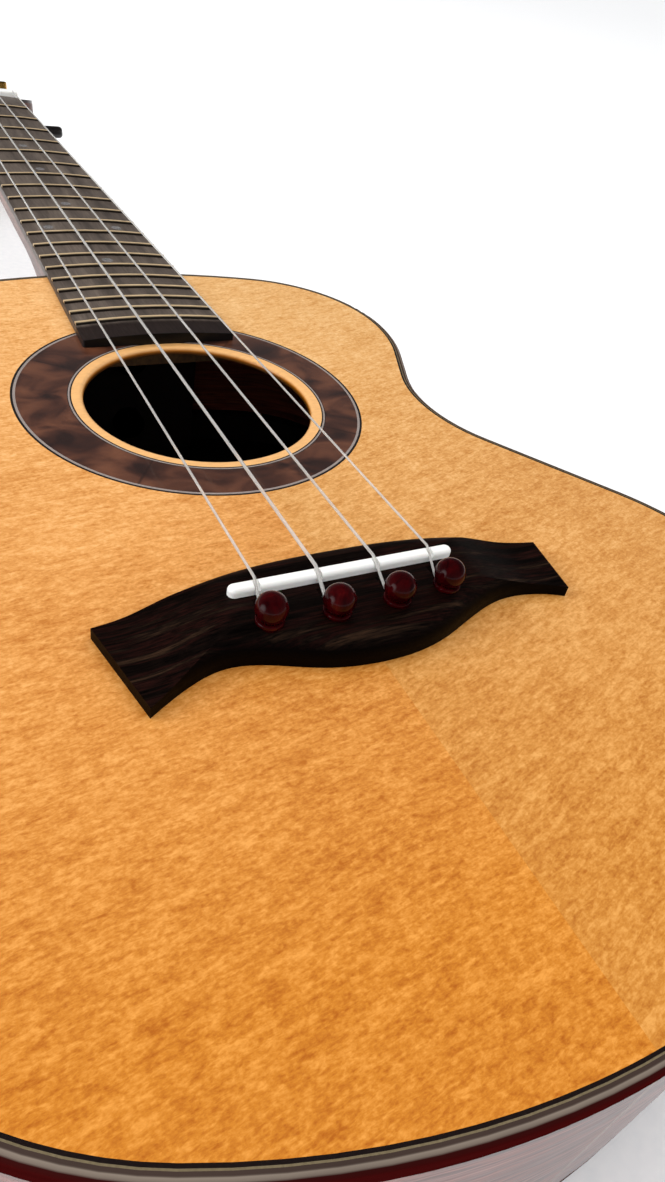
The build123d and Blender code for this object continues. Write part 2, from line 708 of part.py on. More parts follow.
# ---------------------------------------------------------------- bridge, saddle and pins
def bridge():
    neck_edge = Spline(
        at(-55.2, 432.6), at(-42.5, 430.2), at(-28, 426.5), at(0, 424.2),
        at(28, 426.0), at(43, 429.4), at(57.2, 432.6),
    )
    tail_edge = Spline(
        at(54.8, 450.2), at(47, 447.3), at(38, 446.7), at(27, 450.0), at(14.8, 454.8), at(0, 456.4),
        at(-14.5, 453.8), at(-24.3, 450.0), at(-32.5, 448.6), at(-41, 451.0), at(-50.4, 456.2),
    )
    ends = [Line(neck_edge @ 1, tail_edge @ 0), Line(tail_edge @ 1, neck_edge @ 0)]
    plan = make_face([neck_edge, tail_edge] + ends)
    body = Pos(0, 0, TOP_Z) * extrude(plan, BRIDGE_HEIGHT)
    long_rims = body.faces().sort_by(Axis.Z)[-1].edges().sort_by(SortBy.LENGTH)[-2:]
    body = fillet(long_rims, BRIDGE_EDGE_ROUND) & bridge_side_view()
    body -= saddle_blank()
    for number in range(1, 5):
        body -= pin_hole(number)
    return body


def bridge_side_view():
    """Profile across the instrument: a flat middle that sweeps down to thin wings."""
    half = (
        (60, 0), (60, WING_HEIGHT), (46, WING_HEIGHT + 0.4),
        (34, BRIDGE_HEIGHT - 0.9), (BRIDGE_FLAT_HALF, BRIDGE_HEIGHT),
    )
    right = [at(x, 400, TOP_Z + z) for x, z in half]
    left = [at(-x, 400, TOP_Z + z) for x, z in half]
    inwards = (-1, 0, 0)
    view = make_face([
        Line(right[0], right[1]),
        Spline(*right[1:], tangents=(inwards, inwards)),
        Line(right[-1], left[-1]),
        Spline(*reversed(left[1:]), tangents=(inwards, inwards)),
        Line(left[1], left[0]),
        Line(left[0], right[0]),
    ])
    return extrude(view, 80, dir=(0, -1, 0))


def saddle_blank():
    """Upright strip with round ends, from the bottom of its slot to just under the strings."""
    z0 = TOP_Z + BRIDGE_HEIGHT - SADDLE_SLOT_DEPTH
    top = TOP_Z + STRING_HEIGHT_AT_SADDLE - max(STRING_RADII) - 0.1
    outline = SlotOverall(2 * SADDLE_HALF, SADDLE_THICKNESS)
    return Pos(*at(0, SADDLE_S, z0)) * extrude(outline, top - z0)


def saddle():
    blank = saddle_blank()
    body = fillet(blank.faces().sort_by(Axis.Z)[-1].edges(), 1.1)
    for number in range(1, 5):
        body -= saddle_notch(number)
    return body


def saddle_notch(number):
    """Slope filed into the tail side of the saddle, where a string goes down to its pin."""
    half_width, reach = 0.7, 6.0
    first, last = saddle_front_s(), saddle_front_s() + reach
    floor = TOP_Z + STRING_HEIGHT_AT_SADDLE - 1.2 * STRING_RADII[number - 1] - 0.06
    low = floor - reach * string_slope(number)
    corners = ((first, floor), (first, floor + 3), (last, floor + 3), (last, low))
    profile = Polyline(*[at(0, s, z) for s, z in corners], close=True)
    return Pos(saddle_x(number), 0, 0) * extrude(make_face(profile), half_width, dir=(1, 0, 0), both=True)


def bridge_pin(number):
    """Round-headed pin: tapered shank, collar, short neck and ball, turned in one piece."""
    tip_height, tip_narrowing, joint = 1.2, 0.6, 0.2
    shank_length = PIN_LENGTH - tip_height
    ball = Pos(0, 0, PIN_HEAD_CENTRE) * Sphere(PIN_HEAD_RADIUS)
    collar = Pos(0, 0, PIN_COLLAR_HEIGHT / 2) * Cylinder(PIN_COLLAR_RADIUS, PIN_COLLAR_HEIGHT)
    collar = fillet(collar.edges().filter_by(GeomType.CIRCLE), 0.45)
    collar += Pos(0, 0, PIN_HEAD_CENTRE / 2) * Cylinder(PIN_NECK_RADIUS, PIN_HEAD_CENTRE)
    shank = Cone(PIN_TIP_RADIUS, PIN_RADIUS, shank_length + joint)
    shank = Pos(0, 0, (joint - shank_length) / 2) * shank
    tip = Cone(PIN_TIP_RADIUS - tip_narrowing, PIN_TIP_RADIUS, tip_height)
    tip = Pos(0, 0, tip_height / 2 - PIN_LENGTH) * tip
    seat = at(*PIN_PLACES[number - 1], TOP_Z + BRIDGE_HEIGHT)
    return Pos(*seat) * (ball + collar + shank + tip)


# ---------------------------------------------------------------- tuners, in the head's own plane
def screw_places():
    places = []
    for side in (1, -1):
        for x, y in POST_PLACES:
            places += [(side * x, y - 13.0), (side * x, y + 9.0)]
    return places


def worm_z():
    return -HEAD_THICKNESS - WORM_DEPTH


def tuner_plate(x, y):
    """Plate on the back of the head, with two folded ears that carry the worm."""
    back = -HEAD_THICKNESS
    plate = Pos(x, y - 2, back - PLATE_THICKNESS / 2) * Box(12.0, 26.4, PLATE_THICKNESS)
    plate = fillet(plate.edges().filter_by(Axis.Z), 2.5)
    for offset in (-5.35, 5.35):
        ear = Box(1.3, 6.0, WORM_DEPTH + 2.6)
        ear = Pos(x + offset, y - CENTRE_DISTANCE, back - (WORM_DEPTH + 2.6) / 2) * ear
        ear = fillet(ear.edges().filter_by(Axis.X).sort_by(Axis.Z)[:2], 2.4)
        plate += ear
    plate -= Pos(x, y, back) * Cylinder(2.2 + RUNNING_CLEARANCE, 4)
    shaft_hole = Cylinder(SHAFT_RADIUS + RUNNING_CLEARANCE, 20)
    plate -= Pos(x, y - CENTRE_DISTANCE, worm_z()) * Rot(0, 90, 0) * shaft_hole
    for offset in (-13.0, 9.0):
        plate -= Pos(x, y + offset, back) * Cylinder(1.0, 6)
    return plate


def tuner_screw(x, y):
    back = -HEAD_THICKNESS
    head = Pos(x, y, back - PLATE_THICKNESS - 0.5) * Cylinder(1.9, 1.0)
    head = fillet(head.edges().sort_by(Axis.Z)[0], 0.6)
    head -= Pos(x, y, back - PLATE_THICKNESS - 1.0) * Box(4.2, 0.5, 0.9)
    return head + Pos(x, y, back + 2.0) * Cylinder(0.8, 7.6)


def post_bushing(x, y):
    sleeve = Pos(x, y, -2.5) * Cylinder(4.4, 5.0)
    flange = fillet((Pos(x, y, 0.3) * Cylinder(5.4, 0.6)).edges().sort_by(Axis.Z)[-1], 0.4)
    return sleeve + flange - Pos(x, y, 0) * Cylinder(POST_RADIUS + RUNNING_CLEARANCE, 20)


def wheel_top():
    return worm_z() + WHEEL_THICKNESS / 2


def tuner_post(x, y):
    """String post: head with a cross hole, journal in the plate, squared end in the wheel."""
    shoulder = -HEAD_THICKNESS + 0.6
    barrel = Pos(x, y, (shoulder + POST_HEIGHT) / 2) * Cylinder(POST_RADIUS, POST_HEIGHT - shoulder)
    barrel = fillet(barrel.edges().sort_by(Axis.Z)[-1], 0.9)
    barrel -= Pos(x, y, 5.8) * Rot(0, 90, 0) * Cylinder(0.7, 10)
    journal = Pos(x, y, (shoulder + wheel_top()) / 2) * Cylinder(2.2, shoulder - wheel_top())
    tenon = Pos(x, y, worm_z()) * Box(2.6, 2.6, WHEEL_THICKNESS)
    screw_hole = Pos(x, y, worm_z()) * Cylinder(0.8, WHEEL_THICKNESS)
    return barrel + journal + tenon - screw_hole


def wheel_screw(x, y):
    low = worm_z() - WHEEL_THICKNESS / 2
    head = Pos(x, y, low - 0.7) * Cylinder(2.7, 1.4)
    head = fillet(head.edges().sort_by(Axis.Z)[0], 0.5)
    head -= Pos(x, y, low - 1.4) * Box(6, 0.6, 1.2)
    return head + Pos(x, y, worm_z()) * Cylinder(0.8, WHEEL_THICKNESS)


def tuner_wheel(x, y):
    """Worm wheel: its teeth lean with the thread that drives them."""
    tooth = 2 * math.pi / WHEEL_TEETH
    root_gap, tip_gap = 0.85, 1.5
    points = []
    for number in range(WHEEL_TEETH):
        gap_centre = -math.pi / 2 + (number + 0.5) * tooth
        for radius, width, turn in (
            (WHEEL_OUTER, tip_gap, -1), (WHEEL_ROOT, root_gap, -1),
            (WHEEL_ROOT, root_gap, 1), (WHEEL_OUTER, tip_gap, 1),
        ):
            angle = gap_centre + turn * width / 2 / radius
            points.append((radius * math.cos(angle), radius * math.sin(angle), 0))
    face = make_face(Polyline(*points, close=True))
    pitch_radius = WHEEL_TEETH * WORM_PITCH / (2 * math.pi)
    lean = WORM_PITCH / (2 * math.pi * (CENTRE_DISTANCE - pitch_radius))
    twist = math.degrees(WHEEL_THICKNESS * lean / pitch_radius)
    face = (Rot(0, 0, -twist / 2) * face).face()
    wheel = Solid.extrude_linear_with_rotation(face, (0, 0, 0), (0, 0, WHEEL_THICKNESS), twist)
    wheel = Pos(0, 0, -WHEEL_THICKNESS / 2) * wheel - Box(2.6, 2.6, WHEEL_THICKNESS + 1)
    return Pos(x, y, worm_z()) * wheel


def tuner_worm(x, y):
    """Shaft with a screw thread between the ears; its outer end carries the button."""
    start = -WORM_TURNS * WORM_PITCH / 2
    helix = Helix(WORM_PITCH, WORM_TURNS * WORM_PITCH, WORM_CORE, center=(0, 0, start))
    thread_profile = Plane.XZ * make_face(Polyline(
        (WORM_CORE - 0.15, start - 0.5), (WORM_TIP, start - 0.25),
        (WORM_TIP, start + 0.25), (WORM_CORE - 0.15, start + 0.5), close=True,
    ))
    thread = sweep(thread_profile, path=helix, is_frenet=True)
    core = Cylinder(WORM_CORE, 9.2)
    inner_end = -6.2
    outer_end = BUTTON_START + BUTTON_LENGTH - SHAFT_END_COVER - x
    shaft = Cylinder(SHAFT_RADIUS, outer_end - inner_end)
    shaft = Pos(0, 0, (outer_end + inner_end) / 2) * shaft
    worm = core + thread + shaft
    axis = Plane(origin=(x, y - CENTRE_DISTANCE, worm_z()), x_dir=(0, 1, 0), z_dir=(1, 0, 0))
    return axis.location * worm


def tuner_button(x, y):
    """Flattened oval button with a short collar."""
    blade = Box(BUTTON_LENGTH - 1.5, 10.0, 6.4)
    blade = fillet(blade.edges().filter_by(Axis.Z), 3.6)
    blade = fillet(blade.faces().sort_by(Axis.Z)[-1].edges(), 2.2)
    blade = fillet(blade.faces().sort_by(Axis.Z)[0].edges(), 2.2)
    blade = Pos(BUTTON_START + 1.5 + (BUTTON_LENGTH - 1.5) / 2, 0, 0) * blade
    collar = Pos(BUTTON_START + 1.25, 0, 0) * Rot(0, 90, 0) * Cylinder(2.7, 2.5)
    bore_length = BUTTON_LENGTH - SHAFT_END_COVER
    bore = Rot(0, 90, 0) * Cylinder(SHAFT_RADIUS, bore_length)
    bore = Pos(BUTTON_START + bore_length / 2, 0, 0) * bore
    return Pos(0, y - CENTRE_DISTANCE, worm_z()) * (blade + collar - bore)


def on_head(shape, side):
    """Puts a piece of the treble side's tuner on the head, or its mirror image on the bass side."""
    if side < 0:
        shape = shape.mirror(Plane.YZ)
    return HEAD_PLANE.location * shape


# ---------------------------------------------------------------- the assembly
def build_parts():
    burl, black_lines, white_lines = rosette_parts()
    light_line_end = SIDE_THICKNESS + LIGHT_LINE
    back_halves = [slab(SIDE_THICKNESS, 0, BACK_THICKNESS) & half_space(side) for side in (1, -1)]
    parts = {
        "soundboard_bass": soundboard(-1),
        "soundboard_treble": soundboard(1),
        "soundhole_ring": soundhole_ring(),
        "rosette_burl": burl,
        "rosette_black_lines": black_lines,
        "rosette_white_lines": white_lines,
        "back_plate": back_halves,
        "back_centre_strip": back_centre_strip(),
        "side_bass": body_side(-1),
        "side_treble": body_side(1),
        "tail_seam_strip": tail_seam(),
        "neck_block": neck_block(),
        "tail_block": tail_block(),
        "top_linings": linings(TOP_UNDERSIDE - LINING_HEIGHT, TOP_UNDERSIDE),
        "back_linings": linings(BACK_THICKNESS, BACK_THICKNESS + LINING_HEIGHT),
        "top_binding": top_binding(),
        "top_light_line": rim_band(SIDE_THICKNESS, light_line_end, TOP_UNDERSIDE, TOP_Z),
        "top_black_line": rim_band(light_line_end, light_line_end + BLACK_LINE, TOP_UNDERSIDE, TOP_Z),
        "back_binding": back_binding(),
        "soundboard_braces": soundboard_braces(),
        "bridge_plate": bridge_plate(),
        "back_braces": back_braces(),
        "neck": neck(),
        "heel_cap": heel_cap(),
        "headplate": headplate(),
        "neck_rod": rod_channel(),
        "neck_bolts": neck_bolts(),
        "fingerboard": fingerboard(),
        "frets": [fret(number) for number in range(1, FRET_COUNT + 1)],
        "position_markers": markers(),
        "nut": nut(),
        "bridge": bridge(),
        "saddle": saddle(),
    }
    for number in range(1, 5):
        parts[f"bridge_pin_{number}"] = bridge_pin(number)
        parts[f"string_{number}"] = string(number)
    plates, bushings = [], []
    for number in range(1, 5):
        side = string_side(number)
        x, y = string_post(number)
        plates.append(on_head(tuner_plate(x, y), side))
        bushings.append(on_head(post_bushing(x, y), side))
        parts[f"tuner_post_{number}"] = on_head(tuner_post(x, y), side)
        wheel = [on_head(tuner_wheel(x, y), side), on_head(wheel_screw(x, y), side)]
        parts[f"tuner_wheel_{number}"] = wheel
        parts[f"tuner_worm_{number}"] = on_head(tuner_worm(x, y), side)
        parts[f"tuner_button_{number}"] = on_head(tuner_button(x, y), side)
    parts["tuner_plates"] = plates
    parts["post_bushings"] = bushings
    parts["tuner_screws"] = [HEAD_PLANE.location * tuner_screw(x, y) for x, y in screw_places()]
    return parts


def as_one(shape):
    """A node's shape: one solid, or a compound of its separate solids."""
    if isinstance(shape, list):
        return Compound([solid for item in shape for solid in item.solids()])
    solids = shape.solids()
    return solids[0] if len(solids) == 1 else Compound(solids)


os.makedirs("parts", exist_ok=True)
for name, shape in build_parts().items():
    export_step(as_one(shape), f"parts/{name}.step")
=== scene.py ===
import math

import bpy
from mathutils import Matrix, Vector


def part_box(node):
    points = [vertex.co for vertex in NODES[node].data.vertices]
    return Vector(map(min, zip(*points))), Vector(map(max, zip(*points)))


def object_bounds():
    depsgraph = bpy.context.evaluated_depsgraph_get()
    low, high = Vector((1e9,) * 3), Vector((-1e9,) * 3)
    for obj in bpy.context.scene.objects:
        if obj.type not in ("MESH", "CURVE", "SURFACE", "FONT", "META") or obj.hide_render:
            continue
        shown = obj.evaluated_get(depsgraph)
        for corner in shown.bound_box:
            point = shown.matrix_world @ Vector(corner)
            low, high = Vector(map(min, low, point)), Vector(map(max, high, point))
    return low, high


# A tenor ukulele on a white table. Metres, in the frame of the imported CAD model.
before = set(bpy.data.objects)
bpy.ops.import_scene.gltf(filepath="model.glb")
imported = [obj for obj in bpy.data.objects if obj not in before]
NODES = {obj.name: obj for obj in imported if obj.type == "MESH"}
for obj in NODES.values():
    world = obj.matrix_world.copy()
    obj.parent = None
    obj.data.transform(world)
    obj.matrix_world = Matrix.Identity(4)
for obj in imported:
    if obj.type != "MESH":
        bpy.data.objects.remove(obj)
cad_low, cad_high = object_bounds()
STRINGS = (1, 2, 3, 4)

MM = 0.001
SADDLE_LOW, SADDLE_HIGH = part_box("saddle")
SADDLE_MIDDLE = (SADDLE_LOW + SADDLE_HIGH) / 2
RING_LOW, RING_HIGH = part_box("soundhole_ring")
ROSETTE_LOW, ROSETTE_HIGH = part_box("rosette_burl")
ROSETTE_MIDDLE = (ROSETTE_LOW + ROSETTE_HIGH) / 2
TAIL_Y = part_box("top_binding")[0].y
TOP_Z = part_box("top_binding")[1].z
NUT_TAIL_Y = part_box("nut")[0].y
BOARD_END_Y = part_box("fingerboard")[0].y
LAST_FRET_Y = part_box("frets")[0].y


# ------------------------------------------------------------------ material building
def tone(red, green, blue):
    """A colour given as it looks on a screen, 0 to 255, in the linear values that shaders use."""
    def linear(value):
        value /= 255
        return value / 12.92 if value <= 0.04045 else ((value + 0.055) / 1.055) ** 2.4
    return (linear(red), linear(green), linear(blue), 1.0)


class Graph:
    """Builds a shader tree node by node. Lengths in its patterns are in mm on the object."""

    def __init__(self, tree):
        self.nodes = tree.nodes
        self.links = tree.links

    def add(self, kind, inputs=(), **settings):
        """Makes a node. Its inputs are given by name or number, as another node's output or a constant."""
        made = self.nodes.new(kind)
        for key, value in settings.items():
            setattr(made, key, value)
        for socket, value in dict(inputs).items():
            self.feed(value, made.inputs[socket])
        return made

    def feed(self, value, socket):
        if isinstance(value, bpy.types.NodeSocket):
            self.links.new(value, socket)
        else:
            socket.default_value = value

    def stretched(self, sizes, turn=0.0, shift=0.0):
        """Coordinates in which a pattern's features are about as long as sizes say, along x, y and z."""
        scale = [size * MM for size in sizes]
        inputs = {"Vector": self.place, "Scale": scale, "Rotation": (0, 0, turn), "Location": (shift, 0, 0)}
        return self.add("ShaderNodeMapping", inputs, vector_type="TEXTURE").outputs["Vector"]

    def noise(self, sizes, detail=3.0, roughness=0.5, distortion=0.0, turn=0.0, shift=0.0):
        inputs = {
            "Vector": self.stretched(sizes, turn, shift), "Scale": 1.0, "Detail": detail,
            "Roughness": roughness, "Distortion": distortion,
        }
        return self.add("ShaderNodeTexNoise", inputs).outputs["Fac"]

    def waves(self, spacing):
        """Soft parallel bands across Y, spacing mm apart."""
        wave_period = 0.314159
        inputs = {"Vector": self.place, "Scale": wave_period / (spacing * MM)}
        settings = {"wave_type": "BANDS", "bands_direction": "Y", "wave_profile": "SIN"}
        return self.add("ShaderNodeTexWave", inputs, **settings).outputs["Fac"]

    def part(self, vector, axis):
        return self.add("ShaderNodeSeparateXYZ", {"Vector": vector}).outputs[axis]

    def coordinate(self, axis):
        return self.part(self.place, axis)

    def facing(self, axis):
        """How far a face looks along an axis, from -1 to 1."""
        return self.part(self.add("ShaderNodeNewGeometry").outputs["Normal"], axis)

    def upward(self):
        """0 on a face that looks sideways or down, and 1 on one that looks up."""
        return self.remap(self.facing("Z"), 0.4, 0.8)

    def compute(self, operation, a, b=0.0, c=0.0):
        return self.add("ShaderNodeMath", {0: a, 1: b, 2: c}, operation=operation).outputs[0]

    def remap(self, value, low, high, to_low=0.0, to_high=1.0):
        inputs = {"Value": value, "From Min": low, "From Max": high, "To Min": to_low, "To Max": to_high}
        return self.add("ShaderNodeMapRange", inputs).outputs["Result"]

    def spread(self, noise, low, high):
        """Remaps a noise's usual range, 0.3 to 0.7, to run from low to high."""
        return self.remap(noise, 0.3, 0.7, low, high)

    def ramp(self, value, stops):
        """Colours at places from 0 to 1 along a value."""
        made = self.add("ShaderNodeValToRGB", {"Fac": value})
        elements = made.color_ramp.elements
        while len(elements) < len(stops):
            elements.new(0.5)
        for element, (position, colour) in zip(elements, stops):
            element.position = position
            element.color = colour
        return made.outputs["Color"]

    def mix(self, share, a, b, blend="MIX"):
        made = self.add("ShaderNodeMix", data_type="RGBA", blend_type=blend)
        for socket, value in zip((0, 6, 7), (share, a, b)):
            self.feed(value, made.inputs[socket])
        return made.outputs[2]

    def shade(self, colour, noise, low, high):
        """Multiplies a colour by a noise spread from low to high."""
        grey = self.spread(noise, low, high)
        factor = self.add("ShaderNodeCombineColor", {0: grey, 1: grey, 2: grey}).outputs[0]
        return self.mix(1.0, colour, factor, "MULTIPLY")

    def blend(self, *shares):
        """Weighted sum of values."""
        total = 0.0
        for weight, value in shares:
            total = self.compute("MULTIPLY_ADD", value, weight, total)
        return total


class Look(Graph):
    """One procedural material on the object."""

    def __init__(self, name, **constants):
        self.material = bpy.data.materials.new(name)
        self.material.use_nodes = True
        super().__init__(self.material.node_tree)
        self.shader = self.nodes["Principled BSDF"]
        self.place = self.add("ShaderNodeTexCoord").outputs["Object"]
        for key, value in constants.items():
            socket = key.replace("_", " ").title().replace("Ior", "IOR")
            self.shader.inputs[socket].default_value = value

    def close(self, colour, roughness, height, depth):
        """Connects the finished colour, roughness and relief. Depth is the relief's height in mm."""
        self.links.new(colour, self.shader.inputs["Base Color"])
        self.links.new(roughness, self.shader.inputs["Roughness"])
        bump = self.add("ShaderNodeBump", {"Height": height, "Strength": 1.0, "Distance": depth * MM})
        self.links.new(bump.outputs["Normal"], self.shader.inputs["Normal"])
        return self.material


# ------------------------------------------------------------------ woods
def spruce(name, shift, tilt, pale, tint):
    """Lacquered spruce: silky flecks across the grain, pale near the neck and orange near the tail.

    shift moves the pattern, tilt turns its flecks, and pale lightens the tail end.
    """
    look = Look(name, coat_weight=0.8, coat_roughness=0.05, specular_ior_level=0.2)
    broad = look.noise((60, 45, 100), detail=2.0, shift=shift)
    claw = look.noise((14, 3.2, 80), detail=1.5, distortion=0.25, turn=tilt, shift=shift)
    silk = look.noise((2.6, 0.9, 50), detail=4.0, roughness=0.7, distortion=0.3, turn=tilt, shift=shift)
    speckle = look.noise((0.8, 0.7, 50), detail=2.0, shift=shift)
    rings = look.noise((5, 260, 50), detail=2.0, shift=shift)
    figure = look.blend((0.12, broad), (0.15, claw), (0.47, silk), (0.20, speckle), (0.06, rings))
    darkest, lightest = 0.385, 0.615
    figure = look.remap(figure, darkest, lightest)
    near_neck = look.ramp(figure, [
        (0.0, tone(210, 142, 66)), (0.5, tone(235, 174, 104)), (1.0, tone(252, 200, 138)),
    ])
    near_tail = look.ramp(figure, [
        (0.0, tone(174, 92, 4)), (0.5, tone(202, 124, 30)), (1.0, tone(228, 152, 62)),
    ])
    orange_y, pale_y = TAIL_Y + 0.03, NUT_TAIL_Y - 0.29
    along = look.remap(look.coordinate("Y"), orange_y, pale_y, pale, 1.0)
    colour = look.mix(along, near_tail, near_neck)
    grain = look.noise((0.5, 120, 50), detail=2.0, roughness=0.7, shift=shift)
    colour = look.mix(1.0, look.shade(colour, grain, 0.985, 1.01), tint, "MULTIPLY")
    return look.close(colour, look.spread(silk, 0.36, 0.46), grain, 0.008)


def figured_wood(name, sizes, stops, gloss, pores, depth, contrast=0.25, painted_shade_on_top=None, **constants):
    """A dark tonewood: streaks with the given feature sizes, and fine open pores along them.

    A smaller gloss is glossier. Where a colour for faces that look up is given, those faces take it as
    painted shade, as inside the box.
    """
    look = Look(name, **constants)
    streaks = look.noise(sizes, detail=5.0, roughness=0.55, distortion=0.6)
    fine = look.noise(pores, detail=2.0, roughness=0.6)
    colour = look.shade(look.ramp(streaks, stops), fine, 1 - contrast, 1 + 0.8 * contrast)
    if painted_shade_on_top:
        colour = look.mix(look.upward(), colour, painted_shade_on_top)
    return look.close(colour, look.spread(fine, gloss + 0.08, gloss - 0.04), fine, depth)


def rosewood(name, sizes, pores):
    """Glossy red-brown streaked wood, with painted shade making the face that looks up inside the box
    near-black.
    """
    stops = [
        (0.30, tone(54, 22, 16)), (0.42, tone(98, 44, 32)), (0.50, tone(126, 62, 46)),
        (0.56, tone(84, 36, 27)), (0.70, tone(138, 76, 56)),
    ]
    # painted shade: faces that look up, such as the back's inner face, are near-black
    return figured_wood(name, sizes, stops, gloss=0.36, pores=pores, depth=0.015, painted_shade_on_top=tone(14, 7, 5),
                        coat_weight=0.45, coat_roughness=0.04, specular_ior_level=0.25)


def burl():
    """Dark mottled burl in four pieces around the soundhole, with a thin dark seam between each two."""
    look = Look("burl", coat_weight=0.8, coat_roughness=0.05)
    patches = look.noise((15, 11, 40), detail=2.5, roughness=0.5, distortion=0.8)
    colour = look.ramp(patches, [
        (0.34, tone(44, 24, 20)), (0.46, tone(70, 38, 27)),
        (0.56, tone(92, 53, 36)), (0.70, tone(110, 66, 44)),
    ])
    curl = look.noise((2.6, 1.6, 20), detail=3.0, roughness=0.6, distortion=1.5)
    colour = look.shade(colour, curl, 0.88, 1.08)
    x = look.compute("SUBTRACT", look.coordinate("X"), ROSETTE_MIDDLE.x)
    y = look.compute("SUBTRACT", look.coordinate("Y"), ROSETTE_MIDDLE.y)
    seam_turn, seam_width = 0.62, 0.012
    angle = look.compute("ADD", look.compute("ARCTAN2", y, x), seam_turn)
    from_seam = look.compute("PINGPONG", angle, math.pi / 4)
    wood = look.remap(from_seam, 0.0, seam_width, 0.35, 1.0)
    colour = look.mix(wood, tone(30, 12, 8), colour)
    return look.close(colour, look.spread(curl, 0.3, 0.42), curl, 0.01)


def lip_wood():
    """Light wood round the soundhole, with painted shade making it darker down into the hole."""
    look = Look("lip_wood", coat_weight=0.8, coat_roughness=0.06)
    grain = look.noise((3, 1.0, 2), detail=3.0)
    # painted shade: the colour darkens with depth, from the top of the ring down into the hole
    height = look.remap(look.coordinate("Z"), RING_LOW.z, RING_HIGH.z)
    colour = look.ramp(height, [
        (0.0, tone(44, 24, 4)), (0.35, tone(116, 64, 8)),
        (0.58, tone(188, 112, 20)), (0.84, tone(240, 182, 114)),
    ])
    colour = look.shade(colour, grain, 0.92, 1.06)
    return look.close(colour, look.spread(grain, 0.35, 0.45), grain, 0.01)


def veneer(name, colour):
    """A thin lacquered line."""
    look = Look(name, coat_weight=0.6, coat_roughness=0.08)
    fibre = look.noise((0.5, 0.5, 3), detail=2.0)
    colour = look.shade(colour, fibre, 0.85, 1.1)
    return look.close(colour, look.spread(fibre, 0.35, 0.5), fibre, 0.005)


def binding_wood():
    """Dark maroon binding whose rounded top edge carries a painted grey-brown highlight, with a darker line
    at its very top.
    """
    look = Look("binding_wood", specular_ior_level=0.0)
    streaks = look.noise((30, 30, 2), detail=4.0)
    height = look.remap(look.coordinate("Z"), TOP_Z - 1.4 * MM, TOP_Z)
    # painted highlight: the grey-brown stops on the rounded top edge stand in for its reflection
    colour = look.ramp(height, [
        (0.0, tone(60, 10, 10)), (0.72, tone(48, 14, 13)), (0.84, tone(108, 96, 87)),
        (0.97, tone(124, 112, 101)), (0.995, tone(62, 50, 45)),
    ])
    colour = look.shade(colour, streaks, 0.85, 1.12)
    fine = look.noise((6, 6, 0.4), detail=2.0)
    return look.close(colour, look.spread(fine, 0.44, 0.34), fine, 0.008)


def board_wood():
    """Oiled ebony with open pores and black end grain; the grey-brown of the playing surface is painted
    sheen.
    """
    look = Look("board_wood", specular_ior_level=0.35)
    streaks = look.noise((5, 60, 5), detail=5.0, roughness=0.55, distortion=0.6)
    # painted sheen: the streaks are grain, but their grey-brown level stands in for the sheen on dark ebony
    colour = look.ramp(streaks, [(0.3, tone(72, 63, 57)), (0.5, tone(92, 81, 73)), (0.7, tone(110, 98, 88))])
    along = look.coordinate("Y")
    fretted = look.remap(along, LAST_FRET_Y - 2.0 * MM, LAST_FRET_Y)
    colour = look.mix(fretted, tone(40, 28, 25), colour)
    behind_end = look.remap(along, BOARD_END_Y + 0.2 * MM, BOARD_END_Y + 0.6 * MM)
    colour = look.mix(behind_end, tone(12, 8, 7), colour)
    pores = look.noise((0.35, 7, 0.35), detail=2.0, roughness=0.6)
    colour = look.shade(colour, pores, 0.78, 1.14)
    return look.close(colour, look.spread(pores, 0.54, 0.42), pores, 0.02)


def bridge_wood():
    """Near-black rosewood with a few brown streaks and fine light pores on top, and painted shade making the
    faces that don't look up black.
    """
    look = Look("bridge_wood", specular_ior_level=0.05)
    streaks = look.noise((45, 2.4, 8), detail=5.0, roughness=0.6, distortion=0.4)
    colour = look.ramp(streaks, [
        (0.30, tone(7, 3, 2)), (0.46, tone(13, 6, 4)), (0.52, tone(30, 9, 6)),
        (0.57, tone(15, 8, 5)), (0.74, tone(56, 37, 24)),
    ])
    pores = look.noise((8, 0.28, 0.6), detail=3.0, roughness=0.7)
    colour = look.shade(colour, pores, 0.15, 1.8)
    # painted shade: faces that don't look up are black
    colour = look.mix(look.upward(), tone(3, 1, 1), colour)
    return look.close(colour, look.spread(pores, 0.58, 0.44), pores, 0.02)


def bare_wood(name, light, dark, sizes):
    """Unfinished inner wood, in the colours given; dress gives it dark colours as painted shade inside the
    box.
    """
    look = Look(name)
    grain = look.noise(sizes, detail=4.0)
    colour = look.ramp(grain, [(0.3, dark), (0.7, light)])
    return look.close(colour, look.spread(grain, 0.75, 0.9), grain, 0.03)


# ------------------------------------------------------------------ other materials
def bone():
    look = Look("bone", subsurface_weight=0.05, subsurface_scale=1.2 * MM)
    clouds = look.noise((8, 3, 3), detail=3.0)
    colour = look.ramp(clouds, [(0.3, tone(246, 245, 241)), (0.7, tone(251, 251, 249))])
    pores = look.noise((1.6, 0.25, 0.25), detail=2.0)
    colour = look.shade(colour, pores, 0.97, 1.01)
    return look.close(colour, look.spread(pores, 0.3, 0.22), pores, 0.008)


def nylon():
    look = Look("nylon", transmission_weight=0.6, ior=1.45)
    drawn = look.noise((0.4, 30, 0.4), detail=2.0)
    colour = look.ramp(drawn, [(0.3, tone(232, 229, 224)), (0.7, tone(250, 248, 245))])
    return look.close(colour, look.spread(drawn, 0.20, 0.12), drawn, 0.002)


def metal(name, dark, light, brushed, gloss):
    """Polished or plated metal with faint brush marks and tarnish."""
    look = Look(name, metallic=1.0)
    tarnish = look.noise((6, 6, 6), detail=4.0, roughness=0.6)
    colour = look.ramp(tarnish, [(0.3, dark), (0.7, light)])
    marks = look.noise(brushed, detail=2.0)
    brushing = look.spread(marks, gloss - 0.05, gloss + 0.05)
    roughness = look.compute("ADD", brushing, look.spread(tarnish, 0.06, 0.0))
    return look.close(colour, roughness, marks, 0.004)


